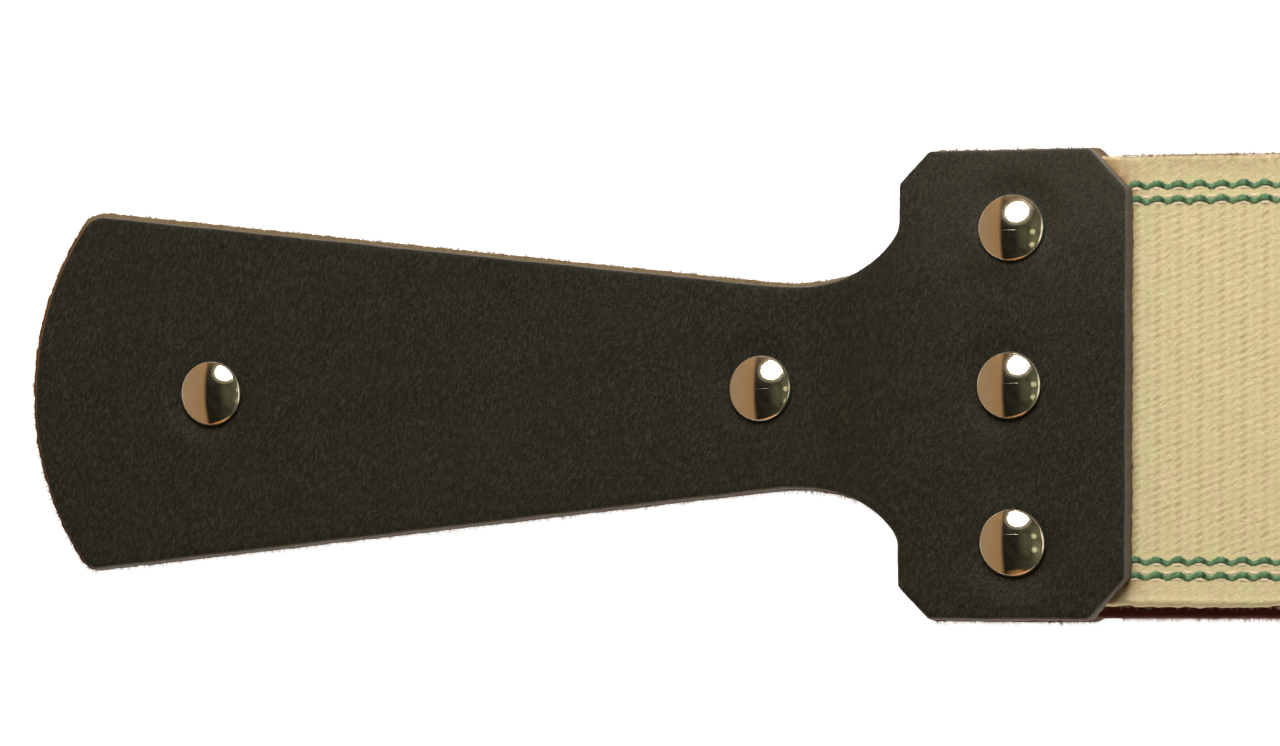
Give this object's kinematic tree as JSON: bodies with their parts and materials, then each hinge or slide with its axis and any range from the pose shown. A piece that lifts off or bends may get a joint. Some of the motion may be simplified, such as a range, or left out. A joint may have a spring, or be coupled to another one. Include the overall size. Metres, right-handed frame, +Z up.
{
  "type": "leather strop",
  "caption": "Hanging strop: two-layer leather handle riveted over a cotton webbing strap and a leather strap, with a leather hanger tab, swivel eye and bolt snap hook.",
  "frame": {"origin": "centre of the bounding box, on the surface that the strop lies on", "axes": "+X along the strop from the handle's tail to the hook, +Z up out of the webbing face, +Y across the straps"},
  "size_m": [0.6644, 0.0662, 0.0144],
  "materials": {
    "handle_leather": "fine grain, semi-matt, greenish black",
    "strap_leather": "smooth, dark red",
    "webbing": "woven cotton, cream with green zigzag pin stripes",
    "rivet_nickel": "polished nickel plate",
    "hook_nickel": "nickel plated casting",
    "spring_steel": "drawn wire"
  },
  "bodies": {
    "strap": {"leather_strap": "strap_leather", "webbing_strap": "webbing"},
    "handle": {"handle_front_layer": "handle_leather", "handle_back_layer": "handle_leather", "rivet_tail_cap": "rivet_nickel", "rivet_tail_post": "rivet_nickel", "rivet_neck_cap": "rivet_nickel", "rivet_neck_post": "rivet_nickel", "rivet_head_upper_cap": "rivet_nickel", "rivet_head_upper_post": "rivet_nickel", "rivet_head_middle_cap": "rivet_nickel", "rivet_head_middle_post": "rivet_nickel", "rivet_head_lower_cap": "rivet_nickel", "rivet_head_lower_post": "rivet_nickel"},
    "tab": {"hanger_tab": "handle_leather", "rivet_tab_upper_cap": "rivet_nickel", "rivet_tab_upper_post": "rivet_nickel", "rivet_tab_middle_cap": "rivet_nickel", "rivet_tab_middle_post": "rivet_nickel", "rivet_tab_lower_cap": "rivet_nickel", "rivet_tab_lower_post": "rivet_nickel", "rivet_tab_loop_cap": "rivet_nickel", "rivet_tab_loop_post": "rivet_nickel"},
    "eye": {"swivel_eye": "hook_nickel"},
    "hook": {"hook_body": "hook_nickel", "bolt_spring": "spring_steel"},
    "bolt": {"snap_bolt": "hook_nickel", "thumb_stud": "hook_nickel"}
  },
  "joints": [
    {"name": "handle_flex", "type": "hinge", "parent": "strap", "child": "handle", "pos_m": [-0.14062, 0, 0.0058], "axis": [0, 1, 0], "range_deg": [-90, 90], "stiffness_Nm_per_rad": 0.15, "deforming": ["webbing_strap", "leather_strap"]},
    {"name": "tab_flex", "type": "hinge", "parent": "strap", "child": "tab", "pos_m": [0.16937, 0, 0.0058], "axis": [0, 1, 0], "range_deg": [-90, 90], "stiffness_Nm_per_rad": 0.15, "deforming": ["webbing_strap", "leather_strap"]},
    {"name": "eye_swing", "type": "hinge", "parent": "tab", "child": "eye", "pos_m": [0.24638, 0, 0.0072], "axis": [0, 1, 0], "range_deg": [-120, 120]},
    {"name": "hook_swivel", "type": "hinge", "parent": "eye", "child": "hook", "pos_m": [0.26603, 0, 0.0072], "axis": [1, 0, 0], "continuous": true},
    {"name": "bolt_slide", "type": "slide", "parent": "hook", "child": "bolt", "axis": [-1, 0, 0], "range_m": [0, 0.008], "stiffness_N_per_m": 300, "springref_m": -0.008, "deforming": ["bolt_spring"]}
  ]
}
